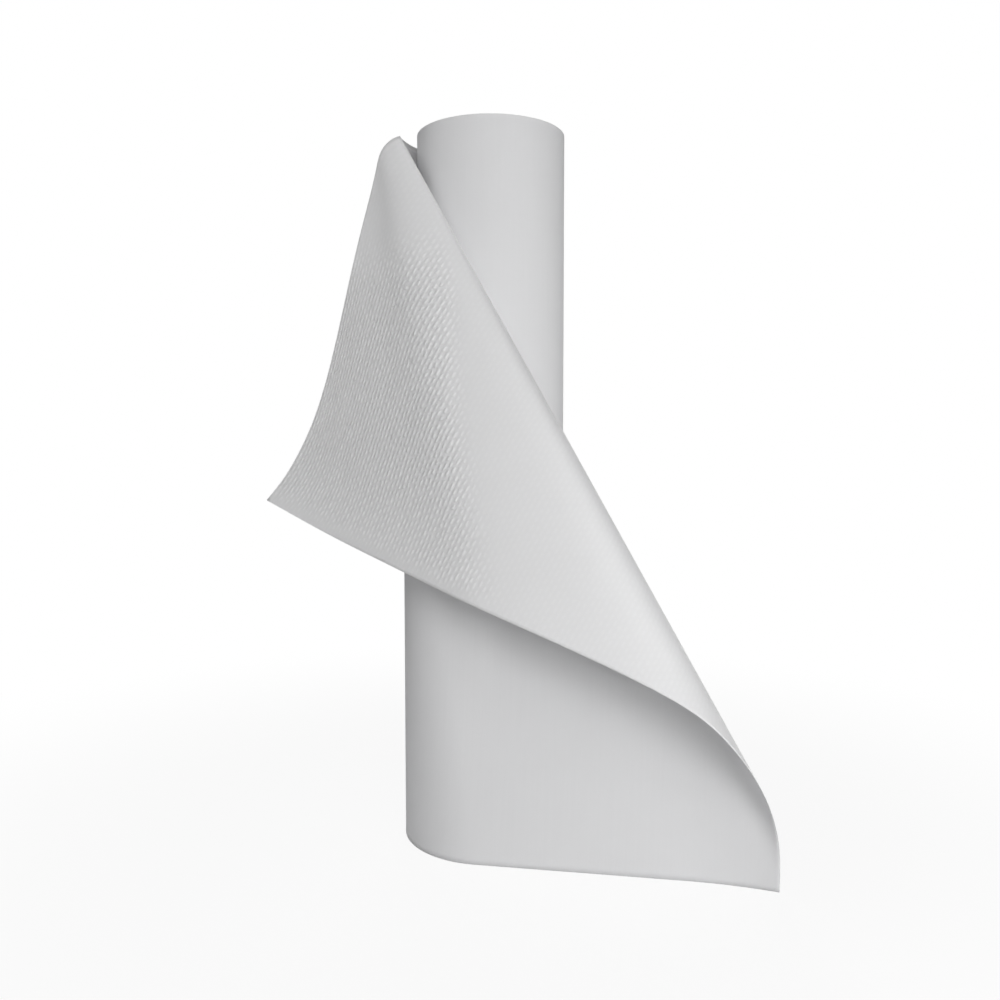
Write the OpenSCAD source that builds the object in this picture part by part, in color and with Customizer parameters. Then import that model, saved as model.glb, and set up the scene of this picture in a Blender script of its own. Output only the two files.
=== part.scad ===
// Examination table paper roll standing on its end, with the loose end of the web turned back
// over itself. The origin is on the roll's axis at the bottom end. +Z runs up the axis and -Y
// is the front. The loose end wraps the roll from the back round its left side to the front.

/* [Roll] */
// Width of the paper web, which is the length of the roll
web_w = 533; // [400:1:620]
// Diameter of the wound roll
roll_d = 110; // [80:1:140]

/* [Core] */
// Bore of the core
core_bore = 38; // [25:0.5:50]
// Wall of the core
core_wall = 2; // [1:0.5:5]
// Clearance between the core and the first turn of paper
core_clear = 0.1; // [0.05:0.05:0.3]

/* [Turns] */
// Turn lines that show on each end of the roll
turn_count = 14; // [4:1:24]
// Depth of a turn line
turn_depth = 0.5; // [0.2:0.1:1]
// Width of a turn line
turn_gap = 0.8; // [0.3:0.1:1]

/* [Loose turn] */
// Thickness of the creped web
web_t = 0.4; // [0.2:0.1:1]
// Slack of the loose turn where it passes the left side of the roll
slack = 11.8; // [6:0.2:20]
// Clearance between the roll and the loose turn where the two part
part_clear = 0.3; // [0.1:0.1:0.6]
// Angle from the front, going left, at which the loose turn parts from the roll
part_angle = 215; // [150:1:250]
// Clearance between the roll and the loose sheet where the sheet bears on the roll
bear_clear = 1.2; // [0.8:0.1:3]
// Softness of the sheet's bend there
bear_soft = 3; // [1:0.5:6]
// Clearance of the loose sheet's edges inside the two ends of the roll
edge_clear = 0.3; // [0.1:0.1:1]

/* [Lower panel] */
// Angle at which the bottom edge runs forward
panel_angle = 9.5; // [4:0.5:20]
// Straight run of the bottom edge
panel_run = 150; // [80:1:200]
// Length of the sweep at the end of the bottom edge
sweep_len = 62; // [30:1:90]
// Radius of that sweep
sweep_r = 300; // [200:10:500]

/* [Fold] */
// Gap between the loose turn and the tip of the fold
tip_gap = 6; // [4:0.1:16]
// Angle of the tip from the front, going left
tip_angle = 63.9; // [50:0.1:68]
// Drop of the tip below the top of the roll
tip_drop = 9.4; // [6:0.1:30]
// Size of the rounded tip
tip_r = 5; // [3:0.5:8]
// Height of the curl's side on the end edge
curl_side_h = 90; // [60:1:100]
// How far the curl's side draws in from the bottom corner
curl_side_in = 23; // [10:1:30]
// Height of the curl's front on the end edge
curl_h = 139; // [110:1:150]
// How far the curl's front draws in from the bottom corner
curl_in = 65; // [45:1:75]
// How far the curl stands in front of the bottom corner
curl_depth = 50; // [35:1:60]

/* [Flap] */
// How far left of the axis the flap bends back round the roll
bend_left = 2; // [0:1:30]
// Gap between the loose turn and the flap at that bend
bend_gap = 46; // [25:1:60]
// Drop of the flap's lower edge at that bend, below the top of the roll
bend_drop = 339; // [300:1:350]
// Bow of the lower edge between the curl and the bend
flap_bow = 2; // [0:0.5:12]
// Reach of the flap's corner beyond the loose turn
flap_reach = 110; // [60:1:130]
// How far the flap's corner lies behind the axis
flap_back = 25; // [0:1:50]
// Drop of the flap's corner below the top of the roll
flap_drop = 275; // [240:1:300]
// Forward flare of the corner
flap_flare = 7; // [0:1:15]
// Hollow of the flap's left edge
flap_hollow = 25; // [10:1:40]

/* [Hidden] */

roll_r = roll_d / 2;
core_r = core_bore / 2 + core_wall;
turn_in = core_r + core_clear;
loose_r = roll_r + slack;
part_r = roll_r + part_clear + web_t / 2;
bear_r = roll_r + bear_clear + web_t / 2;
left_angle = 90;
sheet_top = web_w - edge_clear;
round_fn = 160;

// Steps along the loose sheet and down its width
wrap_steps = 16;
side_steps = 26;
fold_steps = 54;
rows = 20;
// The fold's columns stop just short of the corner, which blunts it by a few millimetres
fold_end = 0.99;

function lerp(a, b, k) = a + (b - a) * k;
function ease(k) = k * k * (3 - 2 * k);
function round_point(r, angle, z) = [-r * sin(angle), -r * cos(angle), z];

function bezier(p, k) =
    pow(1 - k, 3) * p[0] + 3 * pow(1 - k, 2) * k * p[1] + 3 * (1 - k) * k * k * p[2] + pow(k, 3) * p[3];

// Smooth curve through the ends of a list of points and near the points between
function spline(points, k) =
    let (last = len(points) - 1)
    let (before = 2 * points[0] - points[1])
    let (after = 2 * points[last] - points[last - 1])
    let (p = concat([before], points, [after]))
    let (at = k * (len(p) - 3))
    let (i = floor(at))
    let (w = at - i)
    (pow(1 - w, 3) * p[i] + (3 * pow(w, 3) - 6 * w * w + 4) * p[i + 1]
        + (-3 * pow(w, 3) + 3 * w * w + 3 * w + 1) * p[i + 2] + pow(w, 3) * p[i + 3]) / 6;

// Bottom edge from the left of the roll: an arc round the front, a straight run, then a sweep forward
arc_len = loose_r * (left_angle - panel_angle) * PI / 180;
bottom_len = arc_len + panel_run + sweep_len;

function bottom_edge(s) =
    let (angle = left_angle - min(s, arc_len) / loose_r * 180 / PI)
    let (run = max(0, min(s - arc_len, panel_run)))
    let (turn = panel_angle + max(0, s - arc_len - panel_run) / sweep_r * 180 / PI)
    round_point(loose_r, angle, edge_clear)
        + run * [cos(panel_angle), -sin(panel_angle), 0]
        + sweep_r * [sin(turn) - sin(panel_angle), cos(turn) - cos(panel_angle), 0];

// Points that the top edge follows: forward from the left side to the tip, round it, and down to
// the flap's corner. The tip counts twice, so that the edge lingers there
tip = round_point(loose_r + tip_gap, tip_angle, web_w - tip_drop);
side_start = round_point(loose_r, left_angle, sheet_top);
side_points = [
    side_start,
    side_start + [tip[1] / 20, tip[1] / 4, 0],
    tip + tip_r * [-0.3, 2.8, 0.4],
    tip
];
shoulder = tip + tip_r * [-3.5, 1, -5.4];
flap_corner = [-loose_r - flap_reach, flap_back, web_w - flap_drop];
hollow = flap_hollow * [0.9, -0.45, 0];
top_points = [
    tip,
    tip,
    tip + tip_r * [0.1, -0.6, -0.1],
    tip + tip_r * [0.2, -1.2, -0.1],
    tip + tip_r * [0.2, -1.7, -0.3],
    tip + tip_r * [-0.2, -2, -0.5],
    tip + tip_r * [-0.8, -1.9, -0.7],
    tip + tip_r * [-1.7, -1.5, -1.3],
    tip + tip_r * [-2.8, -0.7, -2.6],
    shoulder,
    lerp(shoulder, flap_corner, 0.25) + hollow * 0.16,
    lerp(shoulder, flap_corner, 0.75) + hollow,
    flap_corner
];

// Points that the end edge follows: up from the bottom corner, round the curl, and left to the
// flap's corner. It leaves the bottom corner in the plane of the panel there, without a crease
corner = bottom_edge(bottom_len);
end_turn = panel_angle + sweep_len / sweep_r * 180 / PI;
along = [cos(end_turn), -sin(end_turn), 0];
rise = (tip - corner) * 0.43 * curl_side_h / (tip[2] - corner[2]);
curl_front = corner + [-curl_in, -curl_depth, curl_h];
flap_bend = [-bend_left, -loose_r - bend_gap, web_w - bend_drop];
bow = flap_bow * [0, -1, 1];
flare = flap_flare * [0, 1, -0.5];
end_points = [
    corner,
    corner + rise - along * rise[0] / along[0],
    corner + [-curl_side_in, -curl_depth * 0.58, curl_side_h],
    curl_front,
    lerp(curl_front, flap_bend, 0.55) + bow,
    flap_bend,
    lerp(flap_bend, flap_corner, 0.15),
    lerp(flap_bend, flap_corner, 0.4) + flare * 0.5,
    lerp(flap_bend, flap_corner, 0.7) + flare,
    flap_corner
];

// Each column of the sheet is a straight line from the top edge to the bottom edge or the end edge.
// The loose turn keeps closer to the roll at the top
wrap_columns = [
    for (i = [0 : wrap_steps - 1])
        let (k = i / wrap_steps)
        let (angle = lerp(part_angle, left_angle, k))
        [
            round_point(lerp(part_r, loose_r, pow(k, 3)), angle, sheet_top),
            round_point(lerp(part_r, loose_r, ease(k)), angle, edge_clear)
        ]
];
side_columns = [
    for (i = [0 : side_steps - 1])
        let (k = i / side_steps)
        [bezier(side_points, 1 - pow(1 - k, 2)), bottom_edge(k * bottom_len)]
];
fold_columns = [
    for (i = [0 : fold_steps])
        let (k = fold_end * i / fold_steps)
        [spline(top_points, k), spline(end_points, k)]
];

// What would run through the roll is moved out to the radius at which the sheet bears on it
function press_out(p) =
    let (r = norm([p[0], p[1]]))
    let (near = max(0, r - bear_r + bear_soft) / (2 * bear_soft))
    let (out = r > bear_r + bear_soft ? r : bear_r + bear_soft * near * near)
    [p[0] * out / r, p[1] * out / r, p[2]];
function column_points(c) = [for (j = [0 : rows]) lerp(c[0], c[1], j / rows)];

middle = concat(
    [for (c = wrap_columns) column_points(c)],
    [for (c = concat(side_columns, fold_columns)) [for (p = column_points(c)) press_out(p)]]
);
last_column = len(middle) - 1;

function unit(v) = v / norm(v);
function inward(i, j) = unit(cross(
    middle[min(i + 1, last_column)][j] - middle[max(i - 1, 0)][j],
    middle[i][min(j + 1, rows)] - middle[i][max(j - 1, 0)]));
function face_points(offset) = [
    for (i = [0 : last_column]) for (j = [0 : rows]) middle[i][j] + inward(i, j) * offset
];

// Index of a point on the outer face (face 0) or the inner face (face 1)
function at(face, i, j) = (face * (last_column + 1) + i) * (rows + 1) + j;
function halves(q) = [[q[0], q[1], q[2]], [q[0], q[2], q[3]]];

outer_quads = [
    for (i = [0 : last_column - 1]) for (j = [0 : rows - 1])
        [at(0, i, j), at(0, i + 1, j), at(0, i + 1, j + 1), at(0, i, j + 1)]
];
inner_quads = [
    for (i = [0 : last_column - 1]) for (j = [0 : rows - 1])
        [at(1, i, j), at(1, i, j + 1), at(1, i + 1, j + 1), at(1, i + 1, j)]
];
long_quads = [
    for (i = [0 : last_column - 1]) each [
        [at(0, i, 0), at(1, i, 0), at(1, i + 1, 0), at(0, i + 1, 0)],
        [at(0, i, rows), at(0, i + 1, rows), at(1, i + 1, rows), at(1, i, rows)]
    ]
];
end_quads = [
    for (j = [0 : rows - 1]) each [
        [at(0, 0, j), at(0, 0, j + 1), at(1, 0, j + 1), at(1, 0, j)],
        [at(0, last_column, j), at(1, last_column, j),
            at(1, last_column, j + 1), at(0, last_column, j + 1)]
    ]
];

// Grooves that part the turns on one end, as points of the roll's half section going outwards
turn_pitch = (roll_r - turn_in) / (turn_count + 1);
function turn_lines(z, into) = [
    for (i = [1 : turn_count]) let (r = turn_in + i * turn_pitch) each [
        [r - turn_gap / 2, z],
        [r, z + into],
        [r + turn_gap / 2, z]
    ]
];
function backwards(list) = [for (i = [len(list) - 1 : -1 : 0]) list[i]];

module wound_roll() {
    color("whitesmoke")
    rotate_extrude($fn = round_fn)
    polygon(concat(
        [[turn_in, 0]],
        turn_lines(0, turn_depth),
        [[roll_r, 0], [roll_r, web_w]],
        backwards(turn_lines(web_w, -turn_depth)),
        [[turn_in, web_w]]
    ));
}

module loose_sheet() {
    color("white")
    polyhedron(
        points = concat(face_points(-web_t / 2), face_points(web_t / 2)),
        faces = [for (q = concat(outer_quads, inner_quads, long_quads, end_quads)) each halves(q)],
        convexity = 6
    );
}

module core_tube() {
    color("tan")
    difference() {
        cylinder(r = core_r, h = web_w, $fn = round_fn);
        translate([0, 0, -1])
            cylinder(d = core_bore, h = web_w + 2, $fn = round_fn);
    }
}

wound_roll();
loose_sheet();
core_tube();
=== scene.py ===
import math

import bpy
import numpy as np
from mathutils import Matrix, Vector, noise


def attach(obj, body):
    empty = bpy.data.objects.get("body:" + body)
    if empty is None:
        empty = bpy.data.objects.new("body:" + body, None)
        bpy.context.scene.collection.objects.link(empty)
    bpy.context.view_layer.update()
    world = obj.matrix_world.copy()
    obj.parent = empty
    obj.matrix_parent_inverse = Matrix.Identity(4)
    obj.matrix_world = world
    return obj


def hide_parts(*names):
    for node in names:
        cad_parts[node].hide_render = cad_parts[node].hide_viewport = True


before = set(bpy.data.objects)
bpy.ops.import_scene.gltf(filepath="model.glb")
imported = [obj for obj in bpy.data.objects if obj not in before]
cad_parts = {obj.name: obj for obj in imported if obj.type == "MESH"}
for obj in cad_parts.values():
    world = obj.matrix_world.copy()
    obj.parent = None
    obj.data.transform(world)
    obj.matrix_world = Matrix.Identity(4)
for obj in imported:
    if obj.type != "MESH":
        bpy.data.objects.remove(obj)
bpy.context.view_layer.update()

scene = bpy.context.scene
scene.view_settings.view_transform = "Standard"
mm = 0.001


# Small helpers for meshes

def makePiece(name, points, quads, slots, materials, uvs):
    mesh = bpy.data.meshes.new(name)
    mesh.from_pydata((np.asarray(points) * mm).tolist(), [], np.asarray(quads).tolist())
    for material in materials:
        mesh.materials.append(material)
    mesh.polygons.foreach_set("material_index", np.asarray(slots, dtype=np.int32))
    mesh.polygons.foreach_set("use_smooth", np.full(len(quads), True))
    corners = np.empty(len(mesh.loops), dtype=np.int32)
    mesh.loops.foreach_get("vertex_index", corners)
    layer = mesh.uv_layers.new(name="webMetres")  # real distances along and across the paper
    layer.data.foreach_set("uv", (np.asarray(uvs)[corners] * mm).astype(np.float32).ravel())
    mesh.update()
    piece = bpy.data.objects.new(name, mesh)
    scene.collection.objects.link(piece)
    return piece


def gridQuads(columns, rows, start=0, flip=False):
    i, j = np.meshgrid(np.arange(columns - 1), np.arange(rows - 1), indexing="ij")
    a = start + i * rows + j
    quads = np.stack([a, a + rows, a + rows + 1, a + 1], axis=-1).reshape(-1, 4)
    return quads[:, ::-1] if flip else quads


def easeStep(low, high, value):
    k = np.clip((value - low) / (high - low), 0, 1)
    return k * k * (3 - 2 * k)


def roundPoint(radius, angle, z):
    # Angles are in radians from the front, and grow towards the left
    return np.array([-radius * math.sin(angle), -radius * math.cos(angle), z])


# Small helpers for materials

class NodeDesk:
    def __init__(self, tree):
        self.tree = tree

    def add(self, kind, **settings):
        node = self.tree.nodes.new(kind)
        for key, value in settings.items():
            setattr(node, key, value)
        return node

    def feed(self, socket, value):
        if isinstance(value, bpy.types.NodeSocket):
            self.tree.links.new(value, socket)
        else:
            socket.default_value = value

    def feedAll(self, node, values):
        for socket, value in zip(node.inputs, values):
            self.feed(socket, value)
        return node.outputs[0]

    def math(self, operation, *values):
        return self.feedAll(self.add("ShaderNodeMath", operation=operation), values)

    def spread(self, value, low, high, toLow=0.0, toHigh=1.0):
        node = self.add("ShaderNodeMapRange", interpolation_type="SMOOTHSTEP")
        return self.feedAll(node, (value, low, high, toLow, toHigh))

    def grain(self, along, across, size, seed, detail):
        # Noise with a size along the web and a size across it
        x, y = self.math("DIVIDE", along, size[0]), self.math("DIVIDE", across, size[1])
        node = self.add("ShaderNodeTexNoise")
        self.feed(node.inputs["Vector"], self.feedAll(self.add("ShaderNodeCombineXYZ"), (x, y, seed)))
        node.inputs["Scale"].default_value = 1.0
        node.inputs["Detail"].default_value = detail
        return node.outputs["Fac"]

    def webPlace(self):
        uv = self.add("ShaderNodeUVMap", uv_map="webMetres")
        split = self.add("ShaderNodeSeparateXYZ")
        self.feed(split.inputs[0], uv.outputs[0])
        return split.outputs[0], split.outputs[1]

    def tint(self, factor, dark, light):
        node = self.add("ShaderNodeMix", data_type="RGBA")
        self.feed(node.inputs["Factor"], factor)
        node.inputs["A"].default_value = (*dark, 1)
        node.inputs["B"].default_value = (*light, 1)
        return node.outputs["Result"]

    def bump(self, height, depth, under=None):
        node = self.add("ShaderNodeBump")
        node.inputs["Strength"].default_value = 1.0
        node.inputs["Distance"].default_value = depth
        self.feed(node.inputs["Height"], height)
        if under is not None:
            self.feed(node.inputs["Normal"], under)
        return node.outputs[0]


def newMaterial(name, roughness, specular, sheen=0.0):
    material = bpy.data.materials.new(name)
    material.use_nodes = True
    shader = material.node_tree.nodes["Principled BSDF"]
    shader.inputs["Roughness"].default_value = roughness
    shader.inputs["Specular IOR Level"].default_value = specular
    shader.inputs["Sheen Weight"].default_value = sheen
    return material, shader, NodeDesk(material.node_tree)


# Paper

crepe = {
    "rowPitch": 3.65 * mm,   # across the web, from one row to the next
    "dashPitch": 6.6 * mm,   # along the web, from one dash to the next in a row
    "depth": 0.74 * mm,
    "wander": 0.45, "wanderSize": (16 * mm, 7 * mm),  # how far the rows wave, in rows
    "swell": 0.6, "swellSize": (5 * mm, 4 * mm),      # how unevenly the dashes come, in dashes
    "rowShift": 0.5, "chanceShift": 0.35,             # each row against the last, in dashes
    "dashRise": (-0.9, 0.5), "gapHeight": 0.23,       # cosines where a dash rises, and height between two
    "sharpness": 3.0,
    "flatHeight": 0.35, "unshadedHeight": 0.16,             # heights at which relief is flat paper's, and at which the crepe's painted light and shade is nil
}
paperLook = {
    "white": (0.815, 0.816, 0.824), "shade": (0.77, 0.77, 0.78),  # outer face
    "crest": (0.95, 0.95, 0.955), "valleyShade": (0.50, 0.50, 0.505),  # inner face: painted light on the crepe's dashes and painted shade between them; the fibre's tone also varies between these two
    "cutWhite": (0.84, 0.84, 0.845), "cutShade": (0.66, 0.66, 0.665),
    "faintDepth": 0.03 * mm, "cutDepth": 0.08 * mm,
    "streakSize": (2.2 * mm, 90 * mm), "outerFibre": (0.8 * mm, 1.3 * mm),
    "innerFibre": (0.9 * mm, 0.6 * mm), "turnSize": (60 * mm, 0.22 * mm),
    "outerTone": 0.3, "outerFibreTone": 0.3, "streakTone": 0.5,   # base tone, and what is added to it; on the inner face the crepe adds painted light and shade
    "innerTone": 0.705, "innerFibreTone": 0.08, "paintedShadeStrength": 0.7,
}


def crepeRows(desk, along, across, s):
    # Rows of short raised dashes, each row shifted against the last, that wander and swell unevenly
    wander = desk.grain(along, across, s["wanderSize"], seed=3.0, detail=1.0)
    row = desk.math("MULTIPLY_ADD", wander, s["wander"], desk.math("DIVIDE", across, s["rowPitch"]))
    rowNumber = desk.math("FLOOR", row)
    chance = desk.add("ShaderNodeTexWhiteNoise", noise_dimensions="1D")
    desk.feed(chance.inputs["W"], rowNumber)
    shift = desk.math("MULTIPLY", rowNumber, s["rowShift"])
    shift = desk.math("MULTIPLY_ADD", chance.outputs["Value"], s["chanceShift"], shift)
    swell = desk.grain(along, across, s["swellSize"], seed=7.0, detail=1.0)
    step = desk.math("ADD", desk.math("DIVIDE", along, s["dashPitch"]), shift)
    step = desk.math("MULTIPLY_ADD", swell, s["swell"], step)
    ridge = desk.math("SINE", desk.math("MULTIPLY", desk.math("FRACT", row), math.pi))
    dashes = desk.math("COSINE", desk.math("MULTIPLY", step, 2 * math.pi))
    dashes = desk.spread(dashes, *s["dashRise"], s["gapHeight"], 1.0)
    return desk.math("MULTIPLY", desk.math("POWER", ridge, s["sharpness"]), dashes)


def makeInnerPaper(s):
    material, shader, desk = newMaterial("paperInnerFace", roughness=0.85, specular=0.25, sheen=0.5)
    along, across = desk.webPlace()
    rows = crepeRows(desk, along, across, crepe)
    depth = desk.add("ShaderNodeAttribute", attribute_name="crepeDepth").outputs["Fac"]
    lifted = desk.math("MULTIPLY", desk.math("SUBTRACT", rows, crepe["flatHeight"]), depth)
    # The crepe also paints light and shade into the colour: lighter on its dashes, painted shade between
    # them, as deep as the crepe stands
    crepeLightShade = desk.math("MULTIPLY", desk.math("SUBTRACT", rows, crepe["unshadedHeight"]), depth)
    fibre = desk.grain(along, across, s["innerFibre"], seed=1.0, detail=3.0)
    tone = desk.math("MULTIPLY_ADD", fibre, s["innerFibreTone"], s["innerTone"])
    tone = desk.math("MULTIPLY_ADD", crepeLightShade, s["paintedShadeStrength"], tone)
    desk.feed(shader.inputs["Base Color"], desk.tint(tone, s["valleyShade"], s["crest"]))
    soft = desk.bump(fibre, s["faintDepth"])
    desk.feed(shader.inputs["Normal"], desk.bump(lifted, crepe["depth"], under=soft))
    return material


def makeOuterPaper(s):
    material, shader, desk = newMaterial("paperOuterFace", roughness=0.8, specular=0.25)
    along, across = desk.webPlace()
    streak = desk.grain(along, across, s["streakSize"], seed=2.0, detail=3.0)
    fibre = desk.grain(along, across, s["outerFibre"], seed=5.0, detail=3.0)
    tone = desk.math("MULTIPLY_ADD", fibre, s["outerFibreTone"], s["outerTone"])
    tone = desk.math("MULTIPLY_ADD", streak, s["streakTone"], tone)
    desk.feed(shader.inputs["Base Color"], desk.tint(tone, s["shade"], s["white"]))
    soft = desk.bump(fibre, s["faintDepth"])
    desk.feed(shader.inputs["Normal"], desk.bump(streak, s["faintDepth"], under=soft))
    return material


def makeCutPaper(s):
    material, shader, desk = newMaterial("paperCutEdge", roughness=0.9, specular=0.2)
    along, across = desk.webPlace()  # across runs outwards over the turns on the roll's ends
    turns = desk.grain(along, across, s["turnSize"], seed=1.0, detail=4.0)
    desk.feed(shader.inputs["Base Color"], desk.tint(turns, s["cutShade"], s["cutWhite"]))
    desk.feed(shader.inputs["Normal"], desk.bump(turns, s["cutDepth"]))
    return material


outerPaper = makeOuterPaper(paperLook)
innerPaper = makeInnerPaper(paperLook)
cutPaper = makeCutPaper(paperLook)
print("paper materials made")


# Loose end of the web, in millimetres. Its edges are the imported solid's, apart from a small lift

looseEnd = {
    "width": 533.0, "thickness": 0.4, "edgeClear": 0.3,
    "partRadius": 55.5, "partAngle": 215.0,                    # where the web parts from the roll
    "looseRadius": 66.8, "bearRadius": 56.4, "bearSoft": 3.0,
    "panelAngle": 9.5, "panelRun": 150.0, "sweepLength": 62.0, "sweepRadius": 300.0,
    "tipGap": 6.0, "tipAngle": 63.9, "tipDrop": 9.4, "tipSize": 5.0,
    "sideLead": (0.05, 0.25, 0.0),                             # out of the wrap, in the tip's depth
    "tipLead": (-0.3, 2.8, 0.4),                               # from the tip, in tip sizes, as the next two
    "tipRound": ((0.1, -0.6, -0.1), (0.2, -1.2, -0.1), (0.2, -1.7, -0.3), (-0.2, -2.0, -0.5),
                 (-0.8, -1.9, -0.7), (-1.7, -1.5, -1.3), (-2.8, -0.7, -2.6)),
    "shoulder": (-3.5, 1.0, -5.4),
    "curlRise": 0.43, "curlSideHeight": 90.0, "curlSideIn": 23.0, "curlSideDepth": 0.58,
    "curlHeight": 139.0, "curlIn": 65.0, "curlDepth": 50.0,
    "bendLeft": 2.0, "bendGap": 46.0, "bendDrop": 339.0,
    "flapReach": 110.0, "flapBack": 25.0, "flapDrop": 275.0,
    "flapBow": (0.0, -2.0, 2.0), "bowPlace": 0.55,             # places are shares of an edge's stretch
    "flapFlare": (0.0, 7.0, -3.5), "flarePlaces": ((0.15, 0.0), (0.4, 0.5), (0.7, 1.0)),
    "flapHollow": (22.5, -11.25, 0.0), "hollowPlaces": ((0.25, 0.16), (0.75, 1.0)),
    "foldEnd": 0.999,                                          # stops just short of the flap's corner
    "columns": (36, 90, 150), "rows": 121,                     # columns in the wrap, the side and the fold
    "edgeLift": 4.0, "liftReach": 45.0, "topLift": 0.2,
    "endLiftSpan": (0.25, 0.4), "topLiftSpan": (0.5, 0.62),    # shares of the fold
    "crepeStart": 0.57, "crepeLean": 0.36, "crepeFade": 0.05, "crepeLeast": 0.06,
    "crepeTop": (405.0, 460.0), "crepeEdge": (1.0, 18.0), "crepeLow": (230.0, 305.0), "lowShare": 0.5,
}


def blendPoints(a, b, k):
    return a + (b - a) * k


def bezierPoint(p, k):
    return (1 - k) ** 3 * p[0] + 3 * (1 - k) ** 2 * k * p[1] + 3 * (1 - k) * k * k * p[2] + k ** 3 * p[3]


def splinePoint(points, k):
    p = [2 * points[0] - points[1], *points, 2 * points[-1] - points[-2]]
    place = k * (len(p) - 3)
    i = min(int(place), len(p) - 4)
    w = place - i
    return ((1 - w) ** 3 * p[i] + (3 * w ** 3 - 6 * w * w + 4) * p[i + 1]
            + (-3 * w ** 3 + 3 * w * w + 3 * w + 1) * p[i + 2] + w ** 3 * p[i + 3]) / 6


def looseColumns(s):
    # Straight lines from the top edge to the bottom edge, then to the cut end of the web
    top = s["width"] - s["edgeClear"]
    loose, left = s["looseRadius"], math.pi / 2
    panelAngle = math.radians(s["panelAngle"])
    arcLength = loose * (left - panelAngle)
    bottomLength = arcLength + s["panelRun"] + s["sweepLength"]

    def bottomEdge(d):
        run = max(0.0, min(d - arcLength, s["panelRun"]))
        turn = panelAngle + max(0.0, d - arcLength - s["panelRun"]) / s["sweepRadius"]
        onward = np.array([math.cos(panelAngle), -math.sin(panelAngle), 0])
        sweep = np.array([math.sin(turn) - math.sin(panelAngle), math.cos(turn) - math.cos(panelAngle), 0])
        return (roundPoint(loose, left - min(d, arcLength) / loose, s["edgeClear"])
                + run * onward + s["sweepRadius"] * sweep)

    tip = roundPoint(loose + s["tipGap"], math.radians(s["tipAngle"]), s["width"] - s["tipDrop"])

    def fromTip(offset):
        return tip + s["tipSize"] * np.array(offset)

    sideStart = roundPoint(loose, left, top)
    sidePoints = [sideStart, sideStart + tip[1] * np.array(s["sideLead"]), fromTip(s["tipLead"]), tip]

    shoulder = fromTip(s["shoulder"])
    flapCorner = np.array([-loose - s["flapReach"], s["flapBack"], s["width"] - s["flapDrop"]])
    hollow = np.array(s["flapHollow"])
    topPoints = [tip, tip, *map(fromTip, s["tipRound"]), shoulder]
    topPoints += [blendPoints(shoulder, flapCorner, k) + hollow * part for k, part in s["hollowPlaces"]]
    topPoints += [flapCorner]

    corner = bottomEdge(bottomLength)
    curlFront = corner + np.array([-s["curlIn"], -s["curlDepth"], s["curlHeight"]])
    bend = np.array([-s["bendLeft"], -loose - s["bendGap"], s["width"] - s["bendDrop"]])
    endTurn = panelAngle + s["sweepLength"] / s["sweepRadius"]
    along = np.array([math.cos(endTurn), -math.sin(endTurn), 0])
    rise = (tip - corner) * s["curlSideHeight"] * s["curlRise"] / (tip[2] - corner[2])
    flare = np.array(s["flapFlare"])
    endPoints = [
        corner,
        corner + rise - along * rise[0] / along[0],
        corner + np.array([-s["curlSideIn"], -s["curlDepth"] * s["curlSideDepth"], s["curlSideHeight"]]),
        curlFront,
        blendPoints(curlFront, bend, s["bowPlace"]) + np.array(s["flapBow"]),
        bend,
    ]
    endPoints += [blendPoints(bend, flapCorner, k) + flare * part for k, part in s["flarePlaces"]]
    endPoints += [flapCorner]

    wrapSteps, sideSteps, foldSteps = s["columns"]
    tops, ends = [], []
    for i in range(wrapSteps):
        k = i / wrapSteps
        angle = blendPoints(math.radians(s["partAngle"]), left, k)
        topRadius = blendPoints(s["partRadius"], loose, k ** 3)
        endRadius = blendPoints(s["partRadius"], loose, easeStep(0, 1, k))
        tops.append(roundPoint(topRadius, angle, top))
        ends.append(roundPoint(endRadius, angle, s["edgeClear"]))
    for i in range(sideSteps):
        k = i / sideSteps
        tops.append(bezierPoint(sidePoints, 1 - (1 - k) ** 2))
        ends.append(bottomEdge(k * bottomLength))
    for i in range(foldSteps + 1):
        k = s["foldEnd"] * i / foldSteps
        tops.append(splinePoint(topPoints, k))
        ends.append(splinePoint(endPoints, k))
    return np.array(tops), np.array(ends)


def pressOut(points, bear, soft):
    # Moves what would run through the roll out to the radius at which the sheet bears on it
    r = np.hypot(points[..., 0], points[..., 1])
    near = np.clip((r - bear + soft) / (2 * soft), 0, 1)
    out = np.where(r > bear + soft, r, bear + soft * near ** 2)
    return points * np.stack([out / r, out / r, np.ones_like(r)], axis=-1)


def facing(grid):
    across = np.cross(np.gradient(grid, axis=0), np.gradient(grid, axis=1))
    return across / np.maximum(np.linalg.norm(across, axis=2, keepdims=True), 1e-9)


def runAlong(points):
    return np.concatenate([[0], np.cumsum(np.linalg.norm(np.diff(points, axis=0), axis=1))])


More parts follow.
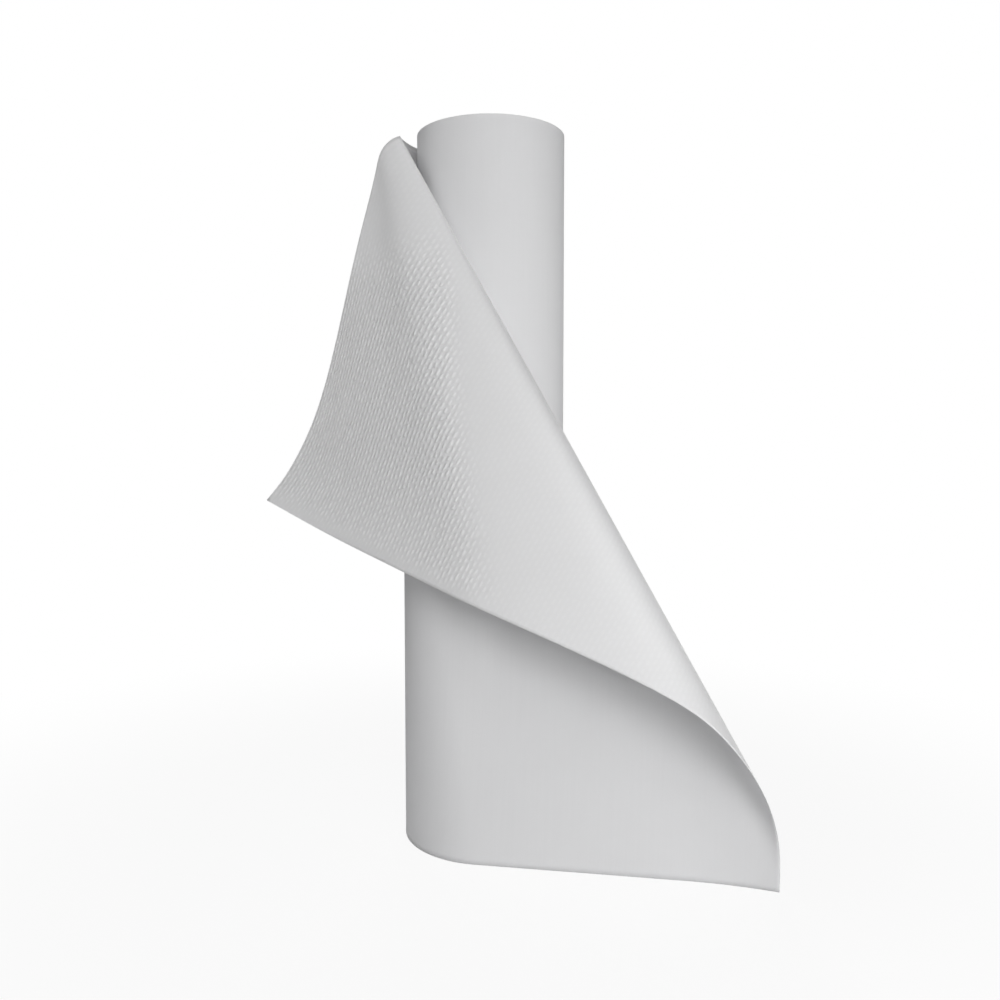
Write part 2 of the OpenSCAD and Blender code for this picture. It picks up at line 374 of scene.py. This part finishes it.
def makeLooseEnd(s):
    tops, ends = looseColumns(s)
    wrapSteps, sideSteps, foldSteps = s["columns"]
    foldStart = wrapSteps + sideSteps
    topRun, endRun = runAlong(tops), runAlong(ends)
    bottomTotal = endRun[foldStart]
    rise = np.clip((endRun - bottomTotal) / (endRun[-1] - bottomTotal), 0, 1)
    flatTop = np.stack([topRun, np.full(len(tops), s["width"])], axis=1)
    flatEnd = np.stack([np.minimum(endRun, bottomTotal) + (topRun[-1] - bottomTotal) * rise,
                        s["width"] * rise], axis=1)

    k = np.linspace(0, 1, s["rows"])
    middle = blendPoints(tops[:, None], ends[:, None], k[None, :, None])
    middle[wrapSteps:] = pressOut(middle[wrapSteps:], s["bearRadius"], s["bearSoft"])
    flat = blendPoints(flatTop[:, None], flatEnd[:, None], k[None, :, None])
    columns, rows = middle.shape[:2]

    # The flap's cut edges lift a little
    share = np.clip((np.arange(columns) - foldStart) / foldSteps, 0, 1)[:, None]
    lengths = np.linalg.norm(ends - tops, axis=1)[:, None]
    fromTop, fromEnd = k * lengths, (1 - k) * lengths
    endLift = np.clip(1 - fromEnd / s["liftReach"], 0, 1) ** 2 * easeStep(*s["endLiftSpan"], share)
    topLift = np.clip(1 - fromTop / s["liftReach"], 0, 1) ** 2 * easeStep(*s["topLiftSpan"], share)
    lift = s["edgeLift"] * np.maximum(endLift, topLift * s["topLift"])
    middle = middle + facing(middle) * lift[..., None]
    inward = facing(middle) * s["thickness"] / 2
    points = np.concatenate([(middle - inward).reshape(-1, 3), (middle + inward).reshape(-1, 3)])
    uvs = np.concatenate([flat.reshape(-1, 2)] * 2)
    count = columns * rows
    index = np.arange(count).reshape(columns, rows)

    def rim(line, flip):
        a, b = line[:-1], line[1:]
        quads = np.stack([a, b, b + count, a + count], axis=1)
        return quads[:, ::-1] if flip else quads

    outerQuads = gridQuads(columns, rows, flip=True)
    innerQuads = gridQuads(columns, rows, count)
    rims = np.concatenate([rim(index[:, 0], False), rim(index[:, -1], True),
                           rim(index[0], True), rim(index[-1], False)])
    quads = np.concatenate([outerQuads, innerQuads, rims])
    slots = np.repeat([0, 1, 2], [len(outerQuads), len(innerQuads), len(rims)])
    piece = makePiece("looseEnd", points, quads, slots, [outerPaper, innerPaper, cutPaper], uvs)

    # The crepe stands up on the hanging flap, and is flatter low down, round the curl, at the tip
    # and at the cut end
    # Its depth also sets how much painted light and shade the crepe puts into the inner face's colour
    z = middle[..., 2]
    start = s["crepeStart"] - s["crepeLean"] * (1 - k) ** 3
    depth = easeStep(start - s["crepeFade"], start + s["crepeFade"], share)
    depth = depth * (1 - easeStep(*s["crepeTop"], z)) * easeStep(*s["crepeEdge"], fromEnd)
    depth = depth * blendPoints(s["lowShare"], 1, easeStep(*s["crepeLow"], z))
    depth = blendPoints(s["crepeLeast"], 1, depth)
    layer = piece.data.attributes.new("crepeDepth", "FLOAT", "POINT")
    layer.data.foreach_set("value", np.concatenate([depth.ravel()] * 2).astype(np.float32))

    print("loose end made, flat length %.0f to %.0f mm" % (bottomTotal, topRun[-1]))
    return piece, topRun[-1], bottomTotal


looseSheet, topLength, bottomLength = makeLooseEnd(looseEnd)
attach(looseSheet, "root")
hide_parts("loose_sheet")


# Wound roll. The turns are one spiral, which the loose end leaves without a step

roll = {
    "width": 533.0, "innerRadius": 21.1, "outerRadius": 55.0, "leaveAngle": 215.0,
    "turns": 50, "angleSteps": 180, "sideRows": 28, "endDepth": 0.3, "grooveDepth": 0.22,
    "endWaves": ((0.9, 0.6, 0), (0.13, 0.8, 4)),           # how often, how high, and a seed
    "waver": 0.1, "waverRound": 2.2, "waverAlong": 0.004,  # how far and how often the side is uneven
}


def makeRoll(s):
    pitch = (s["outerRadius"] - s["innerRadius"]) / s["turns"]
    steps, width = s["angleSteps"], s["width"]
    phase = np.linspace(0, 1, steps + 1)
    angles = np.radians(s["leaveAngle"] + 360 * (1 - phase))
    lines = np.arange(2 * s["turns"] + 1) / 2  # a groove at each whole turn and a crest between
    points, uvs, quads, slots = [], [], [], []

    def endHeight(turn, seed):
        high = sum(noise.noise(Vector((turn * often, seed, layer))) * part
                   for often, part, layer in s["endWaves"])
        return s["endDepth"] * (0.5 - 0.5 * max(-1, min(1, high)))

    def addQuads(columns, rows, slot, flip=False):
        quads.append(gridQuads(columns, rows, len(points) - columns * rows, flip))
        slots.append(np.full(len(quads[-1]), slot))

    # Both ends
    for seed, z, sign in ((1.0, width, -1), (9.0, 0.0, 1)):
        for angle, k in zip(angles, phase):
            for line in lines:
                radius = s["innerRadius"] + pitch * (line + k)
                dip = s["grooveDepth"] if line % 1 == 0 else 0.0
                depth = 0.0 if line == lines[-1] else endHeight(line + k, seed) + dip
                points.append(roundPoint(radius, angle, z + sign * depth))
                uvs.append((angle * radius, radius))
        addQuads(steps + 1, len(lines), slot=1, flip=sign > 0)

    # Outer side
    sideRadius = s["innerRadius"] + pitch * s["turns"]
    for angle, k in zip(angles, phase):
        x, y = math.cos(angle) * s["waverRound"], math.sin(angle) * s["waverRound"]
        for z in np.linspace(width, 0, s["sideRows"]):
            waver = s["waver"] * noise.noise(Vector((x, y, z * s["waverAlong"]))) if 0 < z < width else 0.0
            points.append(roundPoint(sideRadius + pitch * k + waver, angle, z))
            uvs.append((-2 * math.pi * k * sideRadius, z))
    addQuads(steps + 1, s["sideRows"], slot=0, flip=True)

    # Inner side, against the core
    for angle, k in zip(angles, phase):
        for z in (width - s["endDepth"], s["endDepth"]):
            points.append(roundPoint(s["innerRadius"] + pitch * k, angle, z))
            uvs.append((angle * s["innerRadius"], z))
    addQuads(steps + 1, 2, slot=0)

    # Step where the outer turn ends
    for radius in (sideRadius, sideRadius + pitch):
        for z in (width, 0.0):
            points.append(roundPoint(radius, angles[0], z))
            uvs.append((radius, z))
    addQuads(2, 2, slot=0)
    return makePiece("woundRoll", points, np.concatenate(quads), np.concatenate(slots),
                     [outerPaper, cutPaper], uvs)


woundRoll = makeRoll(roll)
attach(woundRoll, "root")
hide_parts("wound_roll")
print("roll made")


# Core

core = {
    "length": 533.0, "bore": 38.0, "wall": 2.0, "edge": 0.3, "edgeRound": 0.3, "steps": 128, "rows": 12,
    "plyWidth": 62.0, "endSpread": 3.0,  # fibre on the ends is this much closer
}
boardLook = {
    "pale": (0.66, 0.54, 0.40), "dark": (0.36, 0.265, 0.175),
    "fibreSize": (4 * mm, 0.5 * mm), "fleckSize": (1.6 * mm, 1.1 * mm), "fleckSpan": (0.66, 0.72),
    "seamWidth": 0.012, "seamDepth": 0.25 * mm, "fibreDepth": 0.05 * mm,
    "tone": 0.3, "fibreTone": 0.7, "fleckTone": 0.35, "seamTone": 0.5,  # flecks and seams are darker
}


def makeBoard(s):
    material, shader, desk = newMaterial("coreBoard", roughness=0.85, specular=0.25)
    along, across = desk.webPlace()
    fibre = desk.grain(along, across, s["fibreSize"], seed=0.0, detail=4.0)
    fleck = desk.spread(desk.grain(along, across, s["fleckSize"], seed=6.0, detail=1.0), *s["fleckSpan"])
    slope = desk.math("ADD", desk.math("DIVIDE", across, core["plyWidth"] * mm),
                      desk.math("DIVIDE", along, math.pi * core["bore"] * mm))
    gap = desk.math("ABSOLUTE", desk.math("SUBTRACT", desk.math("FRACT", slope), 0.5))
    seam = desk.spread(gap, 0.0, s["seamWidth"], 1.0, 0.0)
    tone = desk.math("MULTIPLY_ADD", fibre, s["fibreTone"], s["tone"])
    tone = desk.math("MULTIPLY_ADD", fleck, -s["fleckTone"], tone)
    tone = desk.math("MULTIPLY_ADD", seam, -s["seamTone"], tone)
    desk.feed(shader.inputs["Base Color"], desk.tint(tone, s["dark"], s["pale"]))
    soft = desk.bump(fibre, s["fibreDepth"])
    desk.feed(shader.inputs["Normal"], desk.bump(seam, -s["seamDepth"], under=soft))
    return material


def makeCore(s):
    inner, length, edge = s["bore"] / 2, s["length"], s["edge"]
    outer = inner + s["wall"]
    cut = edge * s["edgeRound"]
    heights = np.linspace(edge, length - edge, s["rows"])
    section = [(inner, z) for z in heights[::-1]] + [(inner + cut, cut), (inner + edge, 0)]
    section += [(outer - edge, 0), (outer - cut, cut)] + [(outer, z) for z in heights]
    section += [(outer - cut, length - cut), (outer - edge, length)]
    section += [(inner + edge, length), (inner + cut, length - cut), (inner, heights[-1])]
    points, uvs = [], []
    for i in range(s["steps"] + 1):
        a = 2 * math.pi * i / s["steps"]
        for radius, z in section:
            points.append((radius * math.cos(a), radius * math.sin(a), z))
            uvs.append((a * inner, z + (radius - inner) * s["endSpread"]))
    quads = gridQuads(s["steps"] + 1, len(section))
    return makePiece("coreTube", points, quads, np.zeros(len(quads)), [makeBoard(boardLook)], uvs)


coreTube = makeCore(core)
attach(coreTube, "root")
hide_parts("core_tube")
print("core made")


# Floor, background and lamps, in metres

stageLook = {
    "floorSize": 8.0, "floorDrop": 0.0003, "floorWhite": 0.88, "floorRoughness": 0.9, "ambient": 0.04,
    "whiteShare": 0.9, "shadowSpan": (0.21, 0.7),  # plain white near the object, all white past the span
}
lamps = {
    "left": {"place": (-1.31, -0.40, 2.0), "size": 1.6, "power": 12.5},
    "right": {"place": (0.80, -0.32, 0.13), "size": 0.4, "power": 0.75},
    "front": {"place": (0.40, -1.94, 0.77), "size": 1.0, "power": 14.5},
    "low": {"place": (0.34, -0.52, 0.28), "size": 0.35, "power": 0.72},
    "back": {"place": (0.0, 2.27, 0.85), "size": 1.4, "power": 20.0},
}
lampAim = (0.0, -0.05, 0.27)
plainWhite = (1, 1, 1, 1)


def seenRays(desk):
    path = desk.add("ShaderNodeLightPath").outputs
    seen = desk.math("MAXIMUM", path["Is Camera Ray"], path["Is Glossy Ray"])
    return desk.math("MAXIMUM", seen, path["Is Transmission Ray"])


def makeFloor(s):
    half, z = s["floorSize"] / 2, -s["floorDrop"]
    mesh = bpy.data.meshes.new("floor")
    corners = [(-half, -half, z), (half, -half, z), (half, half, z), (-half, half, z)]
    mesh.from_pydata(corners, [], [(0, 1, 2, 3)])
    floor = bpy.data.objects.new("floor", mesh)
    scene.collection.objects.link(floor)
    material = bpy.data.materials.new("floorWhite")
    material.use_nodes = True
    desk = NodeDesk(material.node_tree)
    shader = material.node_tree.nodes["Principled BSDF"]
    shader.inputs["Base Color"].default_value = (s["floorWhite"],) * 3 + (1,)
    shader.inputs["Roughness"].default_value = s["floorRoughness"]
    glow = desk.add("ShaderNodeEmission")
    glow.inputs["Color"].default_value = plainWhite
    away = desk.add("ShaderNodeVectorMath", operation="LENGTH")
    desk.feed(away.inputs[0], desk.add("ShaderNodeTexCoord").outputs["Object"])
    share = desk.spread(away.outputs["Value"], *s["shadowSpan"], s["whiteShare"], 1.0)
    share = desk.math("MULTIPLY", seenRays(desk), share)
    mix = desk.add("ShaderNodeMixShader")
    mixed = desk.feedAll(mix, (share, shader.outputs[0], glow.outputs[0]))
    desk.feed(material.node_tree.nodes["Material Output"].inputs["Surface"], mixed)
    mesh.materials.append(material)


def makeRoom(s):
    world = bpy.data.worlds.new("studio")
    scene.world = world
    world.use_nodes = True
    desk = NodeDesk(world.node_tree)
    room = world.node_tree.nodes["Background"]
    room.inputs["Color"].default_value = plainWhite
    room.inputs["Strength"].default_value = s["ambient"]
    white = desk.add("ShaderNodeBackground")
    white.inputs["Color"].default_value = plainWhite
    white.inputs["Strength"].default_value = 1.0
    mix = desk.add("ShaderNodeMixShader")
    mixed = desk.feedAll(mix, (seenRays(desk), room.outputs[0], white.outputs[0]))
    desk.feed(world.node_tree.nodes["World Output"].inputs["Surface"], mixed)


def makeLamp(name, s):
    data = bpy.data.lights.new(name, "AREA")
    data.shape = "DISK"
    data.size = s["size"]
    data.energy = s["power"]
    lamp = bpy.data.objects.new(name, data)
    lamp.location = s["place"]
    lamp.visible_camera = False
    lamp.rotation_euler = (Vector(lampAim) - Vector(s["place"])).to_track_quat("-Z", "Y").to_euler()
    scene.collection.objects.link(lamp)


makeFloor(stageLook)
makeRoom(stageLook)
for lampName, lampValues in lamps.items():
    makeLamp(lampName, lampValues)
print("stage and lamps made")


# Camera

cameraView = {
    "place": (0.00712, -0.7203, 0.3074), "tilt": 3.7815, "lens": 33.57, "sensor": 36.0, "nearest": 0.01,
}


def makeCamera(s):
    data = bpy.data.cameras.new("camera")
    data.sensor_width = s["sensor"]
    data.lens = s["lens"]
    data.clip_start = s["nearest"]
    camera = bpy.data.objects.new("camera", data)
    camera.location = s["place"]
    camera.rotation_euler = (math.radians(90 - s["tilt"]), 0, 0)
    scene.collection.objects.link(camera)
    return camera


scene.camera = makeCamera(cameraView)

bpy.context.view_layer.update()
